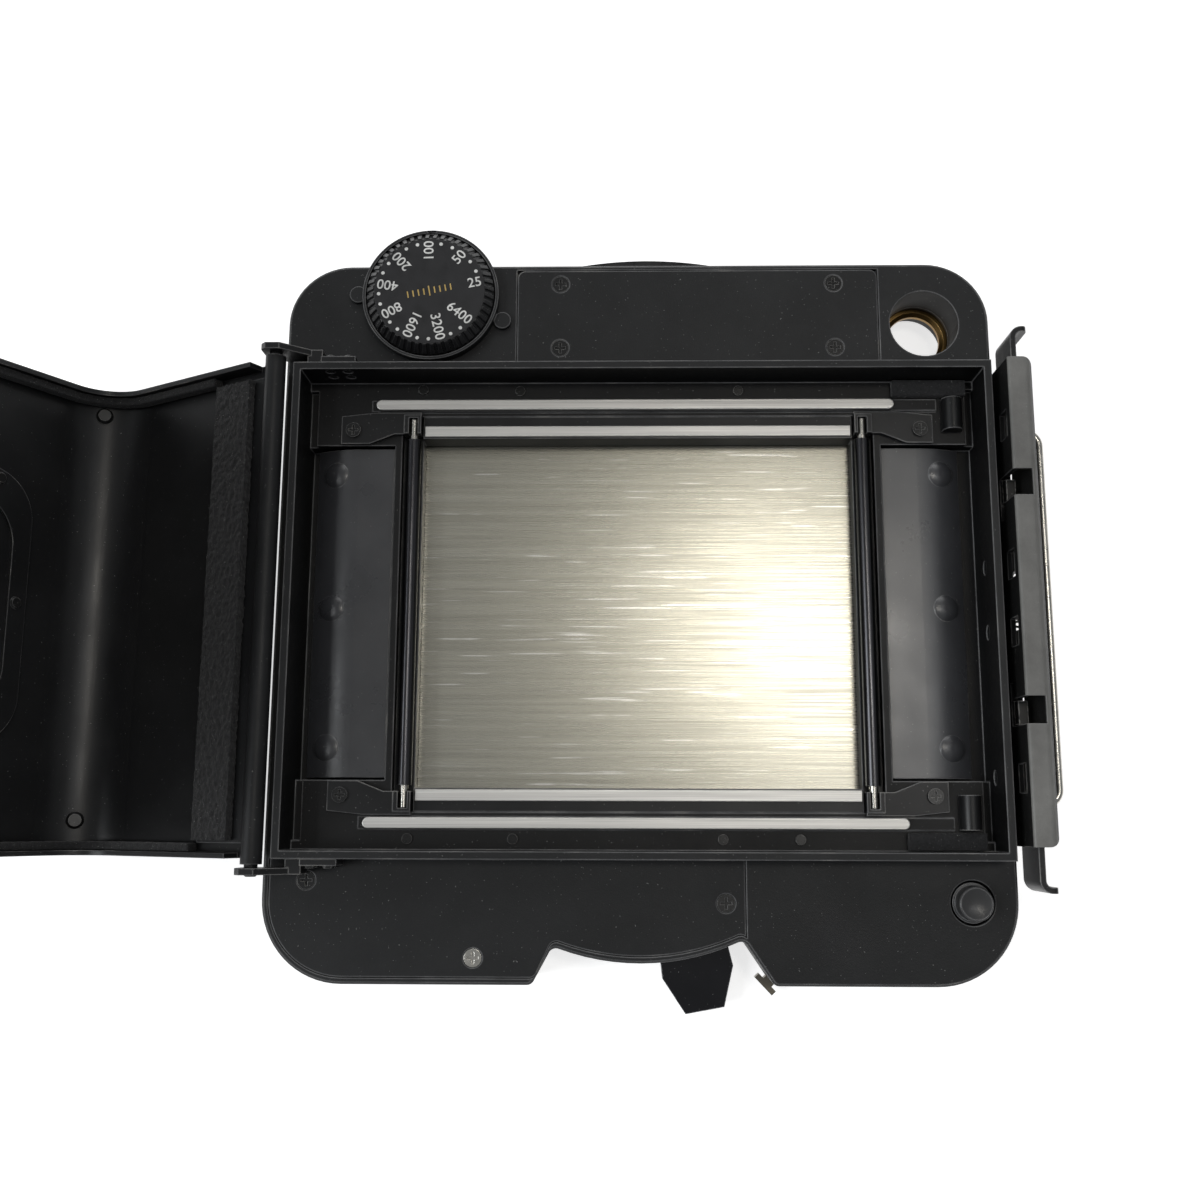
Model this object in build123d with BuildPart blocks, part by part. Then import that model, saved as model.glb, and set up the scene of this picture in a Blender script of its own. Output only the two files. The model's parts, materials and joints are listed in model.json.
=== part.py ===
"""Roll-film back for a 6 x 7 medium-format camera: rear door open, film insert taken out.

The back lies on its front mounting face. The film gate is centred on the Z axis,
+X runs towards the latch and the dark-slide handle, +Y towards the film-speed dial,
and +Z points out of the rear, to the side that the door closes. Sizes are millimetres.
"""
from build123d import *
import math
import os

os.makedirs("parts", exist_ok=True)

# ------------------------------------------------------------------ driving sizes
gate_width = 69.5              # film gate of a 6 x 7 frame
gate_height = 56.0

front_thickness = 5.9          # front plate, from the mounting face
rear_thickness = 6.6           # rear casting over the front plate
rim_height = 5.3               # chamber walls above the rear casting
floor_drop = 1.5               # chamber floor below the rear casting's face

shell_half_width = 57.0        # rounded outline of both castings
shell_half_height = 57.1
top_corner_radius = 10.0
bottom_corner_radius = 12.5
notch_left = -12.9             # notch in the lower edge, where the release lever swings
notch_right = 15.8
notch_middle = 1.5
notch_depth = 5.6
notch_bulge = 2.4
notch_slant = 3.6

chamber_left = 3.7 - shell_half_width     # inside faces of the film chamber
chamber_right = shell_half_width - 2.7
chamber_half_height = 37.4
chamber_wall = 1.2
guide_half_height = 26.4       # curved guide plates either side of the gate

slide_thickness = 0.6          # dark slide
slide_half_height = 30.4
slide_play = 0.1

roller_radius = 1.2
roller_pin_radius = 0.7
roller_gap = 0.15              # from the gate's edge to the roller

door_open_angle = 120.0        # between closed and resting on the hinge stop
door_depth = 40.0              # outside of the door's back above the hinge axis
door_sheet = 1.0
door_corner_radius = 10.5
door_lip_depth = 3.7
door_lip_sheet = 0.8
barrel_radius = 1.6
hinge_pin_radius = 1.0

dial_x = -33.6                 # film-speed dial
dial_y = 51.4
dial_ring_radius = 11.1
dial_radius = 10.35
dial_shaft_radius = 1.5

bush_x = 46.6                  # coupling hole with its brass bush
bush_y = 46.8
coupling_hole_radius = 5.55
bush_bore_radius = 4.4

button_x = 50.1                # lock button
button_y = -44.9
button_radius = 2.6
button_well_radius = 3.35

latch_window_length = 4.3      # openings in the latch channel
latch_travel = 2.5
latch_sheet = 0.8

fit_gap = 0.05                 # radial clearance of shafts in holes
cover_gap = 0.15               # visible line round a cover plate
press_gap = 0.02               # fixed pins in their holes
rivet_radius = 0.7

# ------------------------------------------------------------------ derived levels
front_top = front_thickness
shell_top = front_top + rear_thickness
rim_top = shell_top + rim_height
floor_z = shell_top - floor_drop
slide_z = front_top + slide_play
slot_height = slide_thickness + 0.3
box_left = chamber_left - chamber_wall
box_right = chamber_right + chamber_wall
box_half_height = chamber_half_height + chamber_wall
gate_frame_z = front_top + slot_height + 0.2
gate_ledge_z = gate_frame_z + 2.4
gate_frame_half_width = gate_width / 2 + 2 * roller_radius + 0.8
gate_frame_half_height = gate_height / 2 + 3.6
gate_bar_half_width = gate_width / 2 - 0.15
roller_x = gate_width / 2 + roller_gap + roller_radius
roller_z = floor_z + 0.2
roller_half_length = gate_height / 2 - 0.4
well_wall = 1.2                # between the gate frame and each side well
well_x = gate_frame_half_width + well_wall
well_half_height = guide_half_height + 0.4
left_well_z = front_top + 0.8
right_well_z = front_top + slot_height + 0.8

low = Align.MIN
mid = Align.CENTER
high = Align.MAX


def save(piece, label, rise=0.0):
    """Name a finished piece and write its STEP file, moved up along Y where asked."""
    part = piece.part.moved(Location((0, rise, 0)))
    part.label = label
    export_step(part, f"parts/{label}.step")


def block(x_range, y_range, z_range, mode=Mode.ADD):
    """A box between two corners, added to the part that is being built."""
    size = [b - a for a, b in (x_range, y_range, z_range)]
    centre = [(a + b) / 2 for a, b in (x_range, y_range, z_range)]
    with Locations(tuple(centre)):
        Box(*size, mode=mode)


def shell_outline(inset=0.0):
    """The outline that both castings share, with the lever notch in its lower edge."""
    width = shell_half_width - inset
    height = shell_half_height - inset
    with BuildSketch(mode=Mode.PRIVATE) as outline:
        Rectangle(2 * width, 2 * height)
        corners = outline.vertices().group_by(Axis.Y)
        fillet(corners[-1], top_corner_radius - inset)
        corners = outline.vertices().group_by(Axis.Y)
        fillet(corners[0], bottom_corner_radius - inset)
        with BuildLine():
            floor_left = (notch_left, -shell_half_height + notch_depth + inset)
            floor_mid = (notch_middle, floor_left[1] - notch_bulge)
            floor_right = (notch_right, floor_left[1] + 1.1)
            foot_left = (notch_left - notch_slant, -shell_half_height - 1)
            foot_right = (notch_right + notch_slant + 1.6, -shell_half_height - 1)
            ThreePointArc(floor_left, floor_mid, floor_right)
            Polyline(floor_right, foot_right, foot_left, floor_left)
        make_face(mode=Mode.SUBTRACT)
        notch = outline.vertices().filter_by_position(Axis.X, notch_left - 6, notch_right + 9)
        fillet(notch, 1.2)
    return outline.sketch


# ------------------------------------------------------------------ castings
front_screw_points = [(x, y) for x in (-48, 48) for y in (-33.5, 33.5)] + [(-14.5, 48.5), (30, -48.0)]
front_screw_radius = 1.0
front_head_radius = 1.9
front_screw_length = 9.0
front_head_depth = 1.4
relief = 1.6                   # front light-trap step round the gate

lever_pivot = (7.0, 13.7 - shell_half_height)
lever_tilt = 10.4              # rest angle of the lever, about its pivot
lever_thickness = 3.0
lever_z = 1.3
lever_pin_radius = 1.2

contact_x = 1.6                # contact block in the upper edge of the front plate
contact_half_width = 12.0
contact_shoulder = shell_half_height + 3.2        # its bowed outer edge, at the ends and in the middle
contact_crown = contact_shoulder + 1.1
contact_low = shell_half_height - 4.2
contact_thickness = 4.8

catch_x = (44.0, 50.0)         # camera-mount catch strips, left and right
catch_half_height = 14.0
catch_sheet = 1.2
catch_rivet_y = 12.0
lug_plane = Plane((19.8, -shell_half_height - 0.85, 2.0), x_dir=(0.72, 0.69, 0), z_dir=(0, 0, 1))
lug_thickness = 1.5
lug_stem = (4.2, 1.8)

dial_pocket_half = 8.4         # room under the dial for its contact board
dial_pocket_y = (40.4, 55.6)
dial_pocket_top = front_top + 4.0
trap_x = (gate_frame_half_width + 2.05, gate_frame_half_width + 8.05)          # light trap under the dark slide
trap_depth = 1.5

with BuildPart() as front_plate:
    with BuildSketch() as outline_sketch:
        add(shell_outline())
    extrude(amount=front_top)
    chamfer(front_plate.faces().sort_by(Axis.Z)[0].edges(), 0.4)
    block((-gate_width / 2, gate_width / 2), (-gate_height / 2, gate_height / 2),
          (-1, front_top + 1), mode=Mode.SUBTRACT)
    block((-gate_width / 2 - relief, gate_width / 2 + relief),
          (-gate_height / 2 - relief, gate_height / 2 + relief), (-1, 1.8), mode=Mode.SUBTRACT)
    with Locations(*[(x, y, 0) for x, y in front_screw_points]):
        Cylinder(front_head_radius + cover_gap, front_head_depth, align=(mid, mid, low), mode=Mode.SUBTRACT)
        Cylinder(front_screw_radius + fit_gap, front_top, align=(mid, mid, low), mode=Mode.SUBTRACT)
    with Locations((bush_x, bush_y, 0)):
        Cylinder(coupling_hole_radius, front_top, align=(mid, mid, low), mode=Mode.SUBTRACT)
    with BuildSketch(Plane.XY.offset(lever_z - 0.2)):
        with Locations(lever_pivot):
            Circle(7.0)
        with Locations((lever_pivot[0] - 4.5, -shell_half_height + 2)):
            Rectangle(27, 2 * (shell_half_height + lever_pivot[1]))
    extrude(amount=lever_thickness + 0.4, mode=Mode.SUBTRACT)
    with Locations((*lever_pivot, lever_z - 0.5)):
        Cylinder(lever_pin_radius + press_gap, front_top, align=(mid, mid, low), mode=Mode.SUBTRACT)
    block((contact_x - contact_half_width - cover_gap, contact_x + contact_half_width + cover_gap),
          (contact_low, shell_half_height + 1), (-1, contact_thickness + cover_gap),
          mode=Mode.SUBTRACT)
    block(trap_x, (-slide_half_height - 0.4, slide_half_height + 0.4),
          (front_top - trap_depth, front_top + 1), mode=Mode.SUBTRACT)
    for side in (-1, 1):
        block(sorted((side * catch_x[0], side * catch_x[1])), (-catch_half_height, catch_half_height),
              (-1, catch_sheet + fit_gap), mode=Mode.SUBTRACT)
    with Locations(*[(side * sum(catch_x) / 2, y, 0) for side in (-1, 1)
                     for y in (-catch_rivet_y, catch_rivet_y)]):
        Cylinder(rivet_radius + press_gap, 4, align=(mid, mid, low), mode=Mode.SUBTRACT)
    with BuildSketch(lug_plane):
        Rectangle(lug_stem[0] + press_gap, lug_stem[1] + 2 * press_gap, align=(low, mid))
    extrude(amount=lug_thickness + press_gap, mode=Mode.SUBTRACT)
save(front_plate, "front_plate")

button_stem_radius = 1.25
button_well_depth = 4.5
cover_sheet = 1.0
top_cover_x = (-19.5, 39.2)
top_cover_y = (box_half_height + 0.1, shell_half_height - 1.0)
bottom_cover_right = 16.1
bottom_cover_inset = 1.1
bottom_cover_top = -(box_half_height + 0.1)
pocket_depth = 5.0

top_cover_points = [(-12.5, 53.8), (-12.5, 42.8), (32.1, 53.8), (32.1, 42.8)]
bottom_cover_points = [(-50.3, -41.9), (13.2, -45.1)]
bright_screw_points = [(-24.8, -53.2)]
cover_screw_radius = 0.8
cover_head_radius = 1.35
cover_head_height = 0.6
cover_screw_length = 4.0

trough_width = 1.4
trough_half_height = 36.0
trough_depth = 1.2

rail_y = 33.3                  # outer film rails
rail_half_width = 0.95
rail_x = (-gate_frame_half_width - 4.25, gate_frame_half_width + 3.35)
rail_seat_x = (-gate_frame_half_width - 5.05, gate_frame_half_width + 10.25)
rail_seat_height = 0.5
rail_height = 0.9

bracket_screw_x = (-gate_frame_half_width - 7.85, gate_frame_half_width + 7.35)
bracket_screw_points = [(x, y) for x in bracket_screw_x for y in (-29.1, 29.1)]
bracket_screw_length = 2.5
bracket_sheet = 0.9
boss_x = chamber_right - 3.7   # round-topped pads in the right-hand corners
boss_y = rail_y - 1.75
boss_radius = 1.6
boss_length = 5.3
boss_height = 0.8              # of the round top's axis over the floor
wall_hole_y = (6.2, -4.0, -26.3)
floor_rivets = [(-34.8, 36.2), (-19.0, 35.9), (16.4, 35.9),
                (-35.4, -35.7), (-19.2, -35.7), (13.0, -35.7), (24.8, -35.7)]
floor_rivet_radius = 0.8

hinge_x = box_left - 2.8
hinge_z = rim_top
hinge_ear_sheet = 1.0
hinge_pad_x = (box_left + 4.3, box_left + 9.8)
hinge_rivet_x = (hinge_pad_x[0] + 1.3, hinge_pad_x[1] - 1.4)
hinge_rivet_z = (rim_top - 3.9, rim_top - 1.5)

latch_wall_x = shell_half_width
latch_middle_y = 0.7           # middle of the latch channel, over the gate centre
latch_rivet_y = (-31.0, 0.0, 31.0)
latch_rivet_z = 10.6

with BuildPart() as body_shell:
    with BuildSketch(Plane.XY.offset(front_top)):
        add(shell_outline())
    extrude(amount=rear_thickness)
    chamfer(body_shell.faces().sort_by(Axis.Z)[-1].edges(), 0.35)
    block((box_left, box_right), (-box_half_height, box_half_height), (shell_top - 1, rim_top))
    # film chamber, side wells and gate
    block((chamber_left, chamber_right), (-chamber_half_height, chamber_half_height),
          (floor_z, rim_top + 1), mode=Mode.SUBTRACT)
    block((chamber_left, -well_x), (-well_half_height, well_half_height),
          (left_well_z, rim_top), mode=Mode.SUBTRACT)
    block((well_x, chamber_right), (-well_half_height, well_half_height),
          (right_well_z, rim_top), mode=Mode.SUBTRACT)
    block((-gate_frame_half_width - fit_gap, gate_frame_half_width + fit_gap),
          (-gate_frame_half_height - fit_gap, gate_frame_half_height + fit_gap),
          (gate_frame_z, rim_top), mode=Mode.SUBTRACT)
    block((-gate_frame_half_width + 0.4, gate_frame_half_width),
          (-slide_half_height - 0.4, slide_half_height + 0.4),
          (front_top - 1, gate_frame_z + 0.1), mode=Mode.SUBTRACT)
    block((0, shell_half_width + 1), (-slide_half_height - 0.4, slide_half_height + 0.4),
          (front_top - 1, front_top + slot_height), mode=Mode.SUBTRACT)
    # narrow troughs along both side walls
    for x in (chamber_left, chamber_right - trough_width):
        block((x, x + trough_width), (-trough_half_height, trough_half_height),
              (floor_z - trough_depth, rim_top), mode=Mode.SUBTRACT)
    # raised seats for the outer rails
    for side in (-1, 1):
        block(rail_seat_x, (side * rail_y - rail_half_width, side * rail_y + rail_half_width),
              (floor_z, floor_z + rail_seat_height))
    # cover recesses, and the pockets that they close
    block((top_cover_x[0] - cover_gap, top_cover_x[1] + cover_gap),
          (box_half_height, top_cover_y[1] + cover_gap), (shell_top - cover_sheet, rim_top),
          mode=Mode.SUBTRACT)
    block((-9.5, 29.0), (43.5, 53.0), (shell_top - pocket_depth, shell_top), mode=Mode.SUBTRACT)
    with BuildSketch(Plane.XY.offset(shell_top - cover_sheet)):
        add(shell_outline(bottom_cover_inset - cover_gap))
        with Locations((bottom_cover_right + cover_gap, -box_half_height)):
            Rectangle(200, 200, align=(high, high), mode=Mode.INTERSECT)
    extrude(amount=cover_sheet + 1, mode=Mode.SUBTRACT)
    block((-44.0, 8.0), (-49.0, -42.5), (shell_top - pocket_depth, shell_top), mode=Mode.SUBTRACT)
    block((dial_x - dial_pocket_half, dial_x + dial_pocket_half), dial_pocket_y,
          (front_top - 1, dial_pocket_top), mode=Mode.SUBTRACT)
    # holes
    with Locations(*[(x, y, front_top) for x, y in front_screw_points]):
        Cylinder(front_screw_radius + fit_gap, front_screw_length - front_top + 0.5,
                 align=(mid, mid, low), mode=Mode.SUBTRACT)
    cover_points = top_cover_points + bottom_cover_points + bright_screw_points
    with Locations(*[(x, y, shell_top) for x, y in cover_points]):
        Cylinder(cover_screw_radius + fit_gap, cover_screw_length + 0.3,
                 align=(mid, mid, high), mode=Mode.SUBTRACT)
    with Locations(*[(x, y, floor_z) for x, y in bracket_screw_points]):
        Cylinder(cover_screw_radius + fit_gap, bracket_screw_length, align=(mid, mid, high),
                 mode=Mode.SUBTRACT)
    with Locations((bush_x, bush_y, 0)):
        Cylinder(coupling_hole_radius, shell_top, align=(mid, mid, low), mode=Mode.SUBTRACT)
    with Locations((button_x, button_y, shell_top)):
        Cylinder(button_well_radius, button_well_depth, align=(mid, mid, high), mode=Mode.SUBTRACT)
        Cylinder(button_stem_radius + fit_gap, rear_thickness, align=(mid, mid, high), mode=Mode.SUBTRACT)
    with Locations((dial_x, dial_y, shell_top)):
        Cylinder(dial_shaft_radius + fit_gap, rear_thickness, align=(mid, mid, high),
                 mode=Mode.SUBTRACT)
    with BuildSketch(Plane.YZ.offset(chamber_right - 0.5)):
        with Locations(*[(y, floor_z + 1.8) for y in wall_hole_y]):
            Ellipse(1.1, 0.8)
    extrude(amount=chamber_wall + 0.2, mode=Mode.SUBTRACT)
    with Locations(*[(x, y, floor_z) for x, y in floor_rivets]):
        Cylinder(0.5 + press_gap, 1.5, align=(mid, mid, high), mode=Mode.SUBTRACT)
    with Locations(*[(hinge_rx, sy * box_half_height, z) for hinge_rx in hinge_rivet_x
                     for z in hinge_rivet_z for sy in (-1, 1)]):
        Cylinder(rivet_radius + press_gap, 2 * chamber_wall, rotation=(90, 0, 0), mode=Mode.SUBTRACT)
    with Locations(*[(shell_half_width, latch_middle_y + y, latch_rivet_z) for y in latch_rivet_y]):
        Cylinder(rivet_radius + press_gap, 4.0, rotation=(0, 90, 0), mode=Mode.SUBTRACT)
save(body_shell, "body_shell")


# ------------------------------------------------------------------ covers and screws
def cross_screws(label, points, seat_z, head_radius, head_height, shank_radius, length, facing=1):
    """Screws with a cross recess; seat_z is the underside of the heads."""
    with BuildPart() as screws:
        for x, y in points:
            seat = Plane((x, y, seat_z), z_dir=(0, 0, facing))
            with BuildSketch(seat):
                Circle(shank_radius)
            extrude(amount=-length)
            with BuildSketch(seat):
                Circle(head_radius)
            extrude(amount=head_height)
            with BuildSketch(seat.offset(head_height - 0.35)):
                Rectangle(1.3 * head_radius, 0.3 * head_radius)
                Rectangle(0.3 * head_radius, 1.3 * head_radius)
            extrude(amount=1, mode=Mode.SUBTRACT)
    save(screws, label)


def drill_cover(points):
    """Counterbored screw holes through a cover plate, in the part being built."""
    with Locations(*[(x, y, shell_top) for x, y in points]):
        CounterBoreHole(cover_screw_radius + fit_gap, cover_head_radius + 0.08, cover_head_height)


with BuildPart() as top_cover_plate:
    block(top_cover_x, top_cover_y, (shell_top - cover_sheet, shell_top))
    fillet(top_cover_plate.edges().filter_by(Axis.Z).group_by(Axis.Y)[-1], 1.2)
    drill_cover(top_cover_points)
save(top_cover_plate, "top_cover_plate")

with BuildPart() as bottom_cover_plate:
    with BuildSketch(Plane.XY.offset(shell_top - cover_sheet)):
        add(shell_outline(bottom_cover_inset))
        with Locations((bottom_cover_right, bottom_cover_top)):
            Rectangle(200, 200, align=(high, high), mode=Mode.INTERSECT)
    extrude(amount=cover_sheet)
    drill_cover(bottom_cover_points + bright_screw_points)
save(bottom_cover_plate, "bottom_cover_plate")

cover_screw_size = (cover_head_radius, cover_head_height, cover_screw_radius, cover_screw_length - 0.6)
cover_seat = shell_top - cover_head_height
cross_screws("top_cover_screws", top_cover_points, cover_seat, *cover_screw_size)
cross_screws("bottom_cover_screws", bottom_cover_points, cover_seat, *cover_screw_size)
cross_screws("bright_cover_screw", bright_screw_points, cover_seat, *cover_screw_size)
cross_screws("front_plate_screws", front_screw_points, front_head_depth, front_head_radius,
             front_head_depth - 0.1, front_screw_radius, front_screw_length - front_head_depth, facing=-1)
cross_screws("bracket_screws", bracket_screw_points, floor_z + bracket_sheet, 1.2, 0.5,
             cover_screw_radius, bracket_sheet + bracket_screw_length - 0.3)

# ------------------------------------------------------------------ film gate
with BuildPart() as gate_frame:
    frame_x = (-gate_frame_half_width, gate_frame_half_width)
    block(frame_x, (-gate_frame_half_height, gate_frame_half_height), (gate_frame_z, gate_ledge_z))
    for side in (-1, 1):
        bar_y = sorted((side * gate_height / 2, side * gate_frame_half_height))
        block((-gate_bar_half_width, gate_bar_half_width), bar_y, (gate_frame_z, floor_z))
    block((-gate_width / 2, gate_width / 2), (-gate_height / 2, gate_height / 2),
          (gate_frame_z - 1, rim_top), mode=Mode.SUBTRACT)
save(gate_frame, "gate_frame")

inner_rail_height = 0.4
inner_rail_width = 1.8
with BuildPart() as inner_rails:
    for side in (-1, 1):
        rail = sorted((side * (gate_height / 2 + 0.2), side * (gate_height / 2 + 0.2 + inner_rail_width)))
        block((-gate_bar_half_width + 0.3, gate_bar_half_width - 0.3), rail,
              (floor_z, floor_z + inner_rail_height))
    fillet(inner_rails.faces().sort_by(Axis.Z)[-2:].edges().filter_by(Axis.X), 0.15)
save(inner_rails, "inner_rails")

with BuildPart() as outer_rails:
    rail_length = rail_x[1] - rail_x[0]
    with BuildSketch(Plane.XY.offset(floor_z + rail_seat_height)):
        with Locations(*[(sum(rail_x) / 2, side * rail_y) for side in (-1, 1)]):
            SlotOverall(rail_length, 2 * rail_half_width - 0.1)
    extrude(amount=rail_height)
    fillet(outer_rails.faces().sort_by(Axis.Z)[-2:].edges(), 0.2)
save(outer_rails, "outer_rails")

bracket_inner_y = guide_half_height + 0.5
bracket_outer_y = rail_y - rail_half_width - 0.25
bracket_end_x = (-bracket_screw_x[0] + 2.0, bracket_screw_x[1] + 2.1)    # left and right
pin_block_x = (gate_bar_half_width + 0.25, roller_x + roller_radius + 0.3)
pin_block_y = (gate_height / 2 + 0.5, gate_frame_half_height)
pin_half_length = pin_block_y[1] - 0.6
with BuildPart() as roller_brackets:
    for side_x in (-1, 1):
        for side_y in (-1, 1):
            end_x = bracket_end_x[0 if side_x < 0 else 1]
            corner = [(end_x, bracket_inner_y), (end_x, bracket_outer_y - 0.6),
                      (end_x - 5.5, bracket_outer_y), (pin_block_x[0], bracket_outer_y),
                      (pin_block_x[0], pin_block_y[0]), (pin_block_x[1] + 1.6, pin_block_y[0]),
                      (pin_block_x[1] + 5.6, bracket_inner_y)]
            with BuildSketch(Plane.XY.offset(floor_z)):
                with BuildLine():
                    Polyline(*[(side_x * x, side_y * y) for x, y in corner], close=True)
                make_face()
            extrude(amount=bracket_sheet)
            block(sorted(side_x * x for x in pin_block_x), sorted(side_y * y for y in pin_block_y),
                  (gate_ledge_z + 0.5, roller_z + roller_radius))
    with Locations(*[(x, y, floor_z) for x, y in bracket_screw_points]):
        Cylinder(cover_screw_radius + fit_gap, 2, align=(mid, mid, low), mode=Mode.SUBTRACT)
    with Locations(*[(side * roller_x, 0, roller_z) for side in (-1, 1)]):
        Cylinder(roller_pin_radius + press_gap, 2 * pin_half_length + 0.2, rotation=(90, 0, 0),
                 mode=Mode.SUBTRACT)
    for side in (-1, 1):
        block((side * roller_x - roller_pin_radius - press_gap, side * roller_x + roller_pin_radius + press_gap),
              (-pin_half_length - 0.1, pin_half_length + 0.1), (roller_z, roller_z + 2), mode=Mode.SUBTRACT)
save(roller_brackets, "roller_brackets")

with BuildPart() as roller_pins:
    with Locations(*[(side * roller_x, 0, roller_z) for side in (-1, 1)]):
        Cylinder(roller_pin_radius, 2 * pin_half_length, rotation=(90, 0, 0))
save(roller_pins, "roller_pins")

for side, label in ((-1, "left_roller"), (1, "right_roller")):
    with BuildPart() as roller:
        with Locations((side * roller_x, 0, roller_z)):
            Cylinder(roller_radius, 2 * roller_half_length, rotation=(90, 0, 0))
            Cylinder(roller_pin_radius + fit_gap, 2 * roller_half_length, rotation=(90, 0, 0),
                     mode=Mode.SUBTRACT)
    save(roller, label)

# Curved guide plates: flat beside the roller, then falling away towards the outer wall.
guide_sheet = 0.7
guide_flat_end = 45.0
guide_curve_radius = 14.0
guide_curve_angle = 30.0
guide_start = well_x + 0.15
guide_top = floor_z - 0.7
dimple_radius = 2.1
dimple_rise = 0.45
dimple_angle = 16.0
dimple_y = (22.2, 0.3, -21.8)


def guide_plate(side, label, well_z):
    """One film guide plate with its three pressed dimples and its two feet."""
    centre_z = guide_top - guide_curve_radius
    end = math.radians(guide_curve_angle)
    half = end / 2
    outer = guide_curve_radius
    inner = guide_curve_radius - guide_sheet

    def on_curve(radius, angle):
        return (side * (guide_flat_end + radius * math.sin(angle)), centre_z + radius * math.cos(angle))

    with BuildPart() as plate:
        with BuildSketch(Plane.XZ):
            with BuildLine():
                start = side * guide_start
                Line((start, guide_top), (side * guide_flat_end, guide_top))
                ThreePointArc(on_curve(outer, 0), on_curve(outer, half), on_curve(outer, end))
                Line(on_curve(outer, end), on_curve(inner, end))
                ThreePointArc(on_curve(inner, end), on_curve(inner, half), on_curve(inner, 0))
                Polyline(on_curve(inner, 0), (start, guide_top - guide_sheet), (start, guide_top))
            make_face()
        extrude(amount=guide_half_height, both=True)
        tilt = math.radians(dimple_angle)
        x, z = on_curve(outer, tilt)
        for y in dimple_y:
            across = Plane((x, y, z), x_dir=(0, 1, 0), z_dir=(math.cos(tilt), 0, -side * math.sin(tilt)))
            with BuildSketch(across):
                with BuildLine():
                    Polyline((dimple_radius, 0), (dimple_radius, -guide_sheet / 2), (0, -guide_sheet / 2),
                             (0, dimple_rise))
                    ThreePointArc((0, dimple_rise), (dimple_radius * 0.6, dimple_rise * 0.74),
                                  (dimple_radius, 0))
                make_face()
            revolve(axis=Axis((x, y, z), (side * math.sin(tilt), 0, math.cos(tilt))))
        for y in (-18.0, 18.0):
            block(sorted((side * (guide_start + 1.5), side * (guide_start + 4.5))), (y - 2.5, y + 2.5),
                  (well_z, guide_top - guide_sheet / 2))
    save(plate, label)


guide_plate(-1, "left_guide_plate", left_well_z)
guide_plate(1, "right_guide_plate", right_well_z)

with BuildPart() as guide_bosses:
    with Locations(*[(boss_x, side * boss_y, floor_z + boss_height) for side in (-1, 1)]):
        Cylinder(boss_radius, boss_length, rotation=(90, 0, 0))
        Box(2 * boss_radius, boss_length, boss_height, align=(mid, mid, high))
    block((boss_x - 2 * boss_radius, boss_x + 2 * boss_radius), (-shell_half_height, shell_half_height),
          (floor_z - 3, floor_z), mode=Mode.SUBTRACT)
save(guide_bosses, "guide_bosses")

with BuildPart() as floor_rivet_set:
    with Locations(*[(x, y, floor_z) for x, y in floor_rivets]):
        Cylinder(floor_rivet_radius, 0.3, align=(mid, mid, low))
        Cylinder(0.5, 1.2, align=(mid, mid, high))
save(floor_rivet_set, "floor_rivets")

felt_thickness = 1.4
with BuildPart() as floor_felts:
    for side in (-1, 1):
        felt_y = sorted((side * (boss_y + boss_length / 2 + 0.4), side * (chamber_half_height - 0.1)))
        block((chamber_right - 13.3, chamber_right - trough_width - 0.1), felt_y,
              (floor_z, floor_z + felt_thickness))
save(floor_felts, "floor_felts")

with BuildPart() as light_trap_felt:
    block((trap_x[0] + 0.2, trap_x[1] - 0.2), (-slide_half_height, slide_half_height),
          (front_top - trap_depth, front_top - 0.05))
save(light_trap_felt, "light_trap_felt")

# ------------------------------------------------------------------ dark slide
slide_left = -gate_frame_half_width + 0.6
slide_tail = shell_half_width + 3.0
slide_tail_half_height = slide_half_height - 1.6
grip_x = (shell_half_width + 0.4, shell_half_width + 3.4)
grip_half_height = slide_half_height + 0.5
grip_thickness = 1.8
bail_wire_radius = 0.7
bail_reach = shell_half_width + 9.0
bail_half_height = slide_half_height - 0.3
slide_mid_z = slide_z + slide_thickness / 2

with BuildPart() as dark_slide:
    block((slide_left, shell_half_width), (-slide_half_height, slide_half_height),
          (slide_z, slide_z + slide_thickness))
    fillet(dark_slide.edges().filter_by(Axis.Z).group_by(Axis.X)[0], 1.5)
    block((shell_half_width - 1, slide_tail), (-slide_tail_half_height, slide_tail_half_height),
          (slide_z, slide_z + slide_thickness))
save(dark_slide, "dark_slide")

with BuildPart() as slide_grip:
    block(grip_x, (-grip_half_height, grip_half_height),
          (slide_mid_z - grip_thickness / 2, slide_mid_z + grip_thickness / 2))
    fillet(slide_grip.edges().filter_by(Axis.Y).group_by(Axis.X)[-1], 0.6)
    block((grip_x[0] - 1, slide_tail), (-slide_tail_half_height, slide_tail_half_height),
          (slide_z, slide_z + slide_thickness), mode=Mode.SUBTRACT)
    with Locations(*[(grip_x[0] + 1.0, side * bail_half_height, slide_mid_z) for side in (-1, 1)]):
        Cylinder(bail_wire_radius + press_gap, 5, rotation=(0, 90, 0), align=(mid, mid, low),
                 mode=Mode.SUBTRACT)
save(slide_grip, "slide_grip")

with BuildPart() as slide_bail:
    with BuildLine() as bail_path:
        legs = [(grip_x[0] + 1.0, bail_half_height, slide_mid_z), (bail_reach, bail_half_height, slide_mid_z),
                (bail_reach, -bail_half_height, slide_mid_z), (grip_x[0] + 1.0, -bail_half_height, slide_mid_z)]
        FilletPolyline(*legs, radius=2.2)
    with BuildSketch(Plane(legs[0], z_dir=(1, 0, 0))):
        Circle(bail_wire_radius)
    sweep(path=bail_path.wires()[0])
save(slide_bail, "slide_bail")

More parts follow.
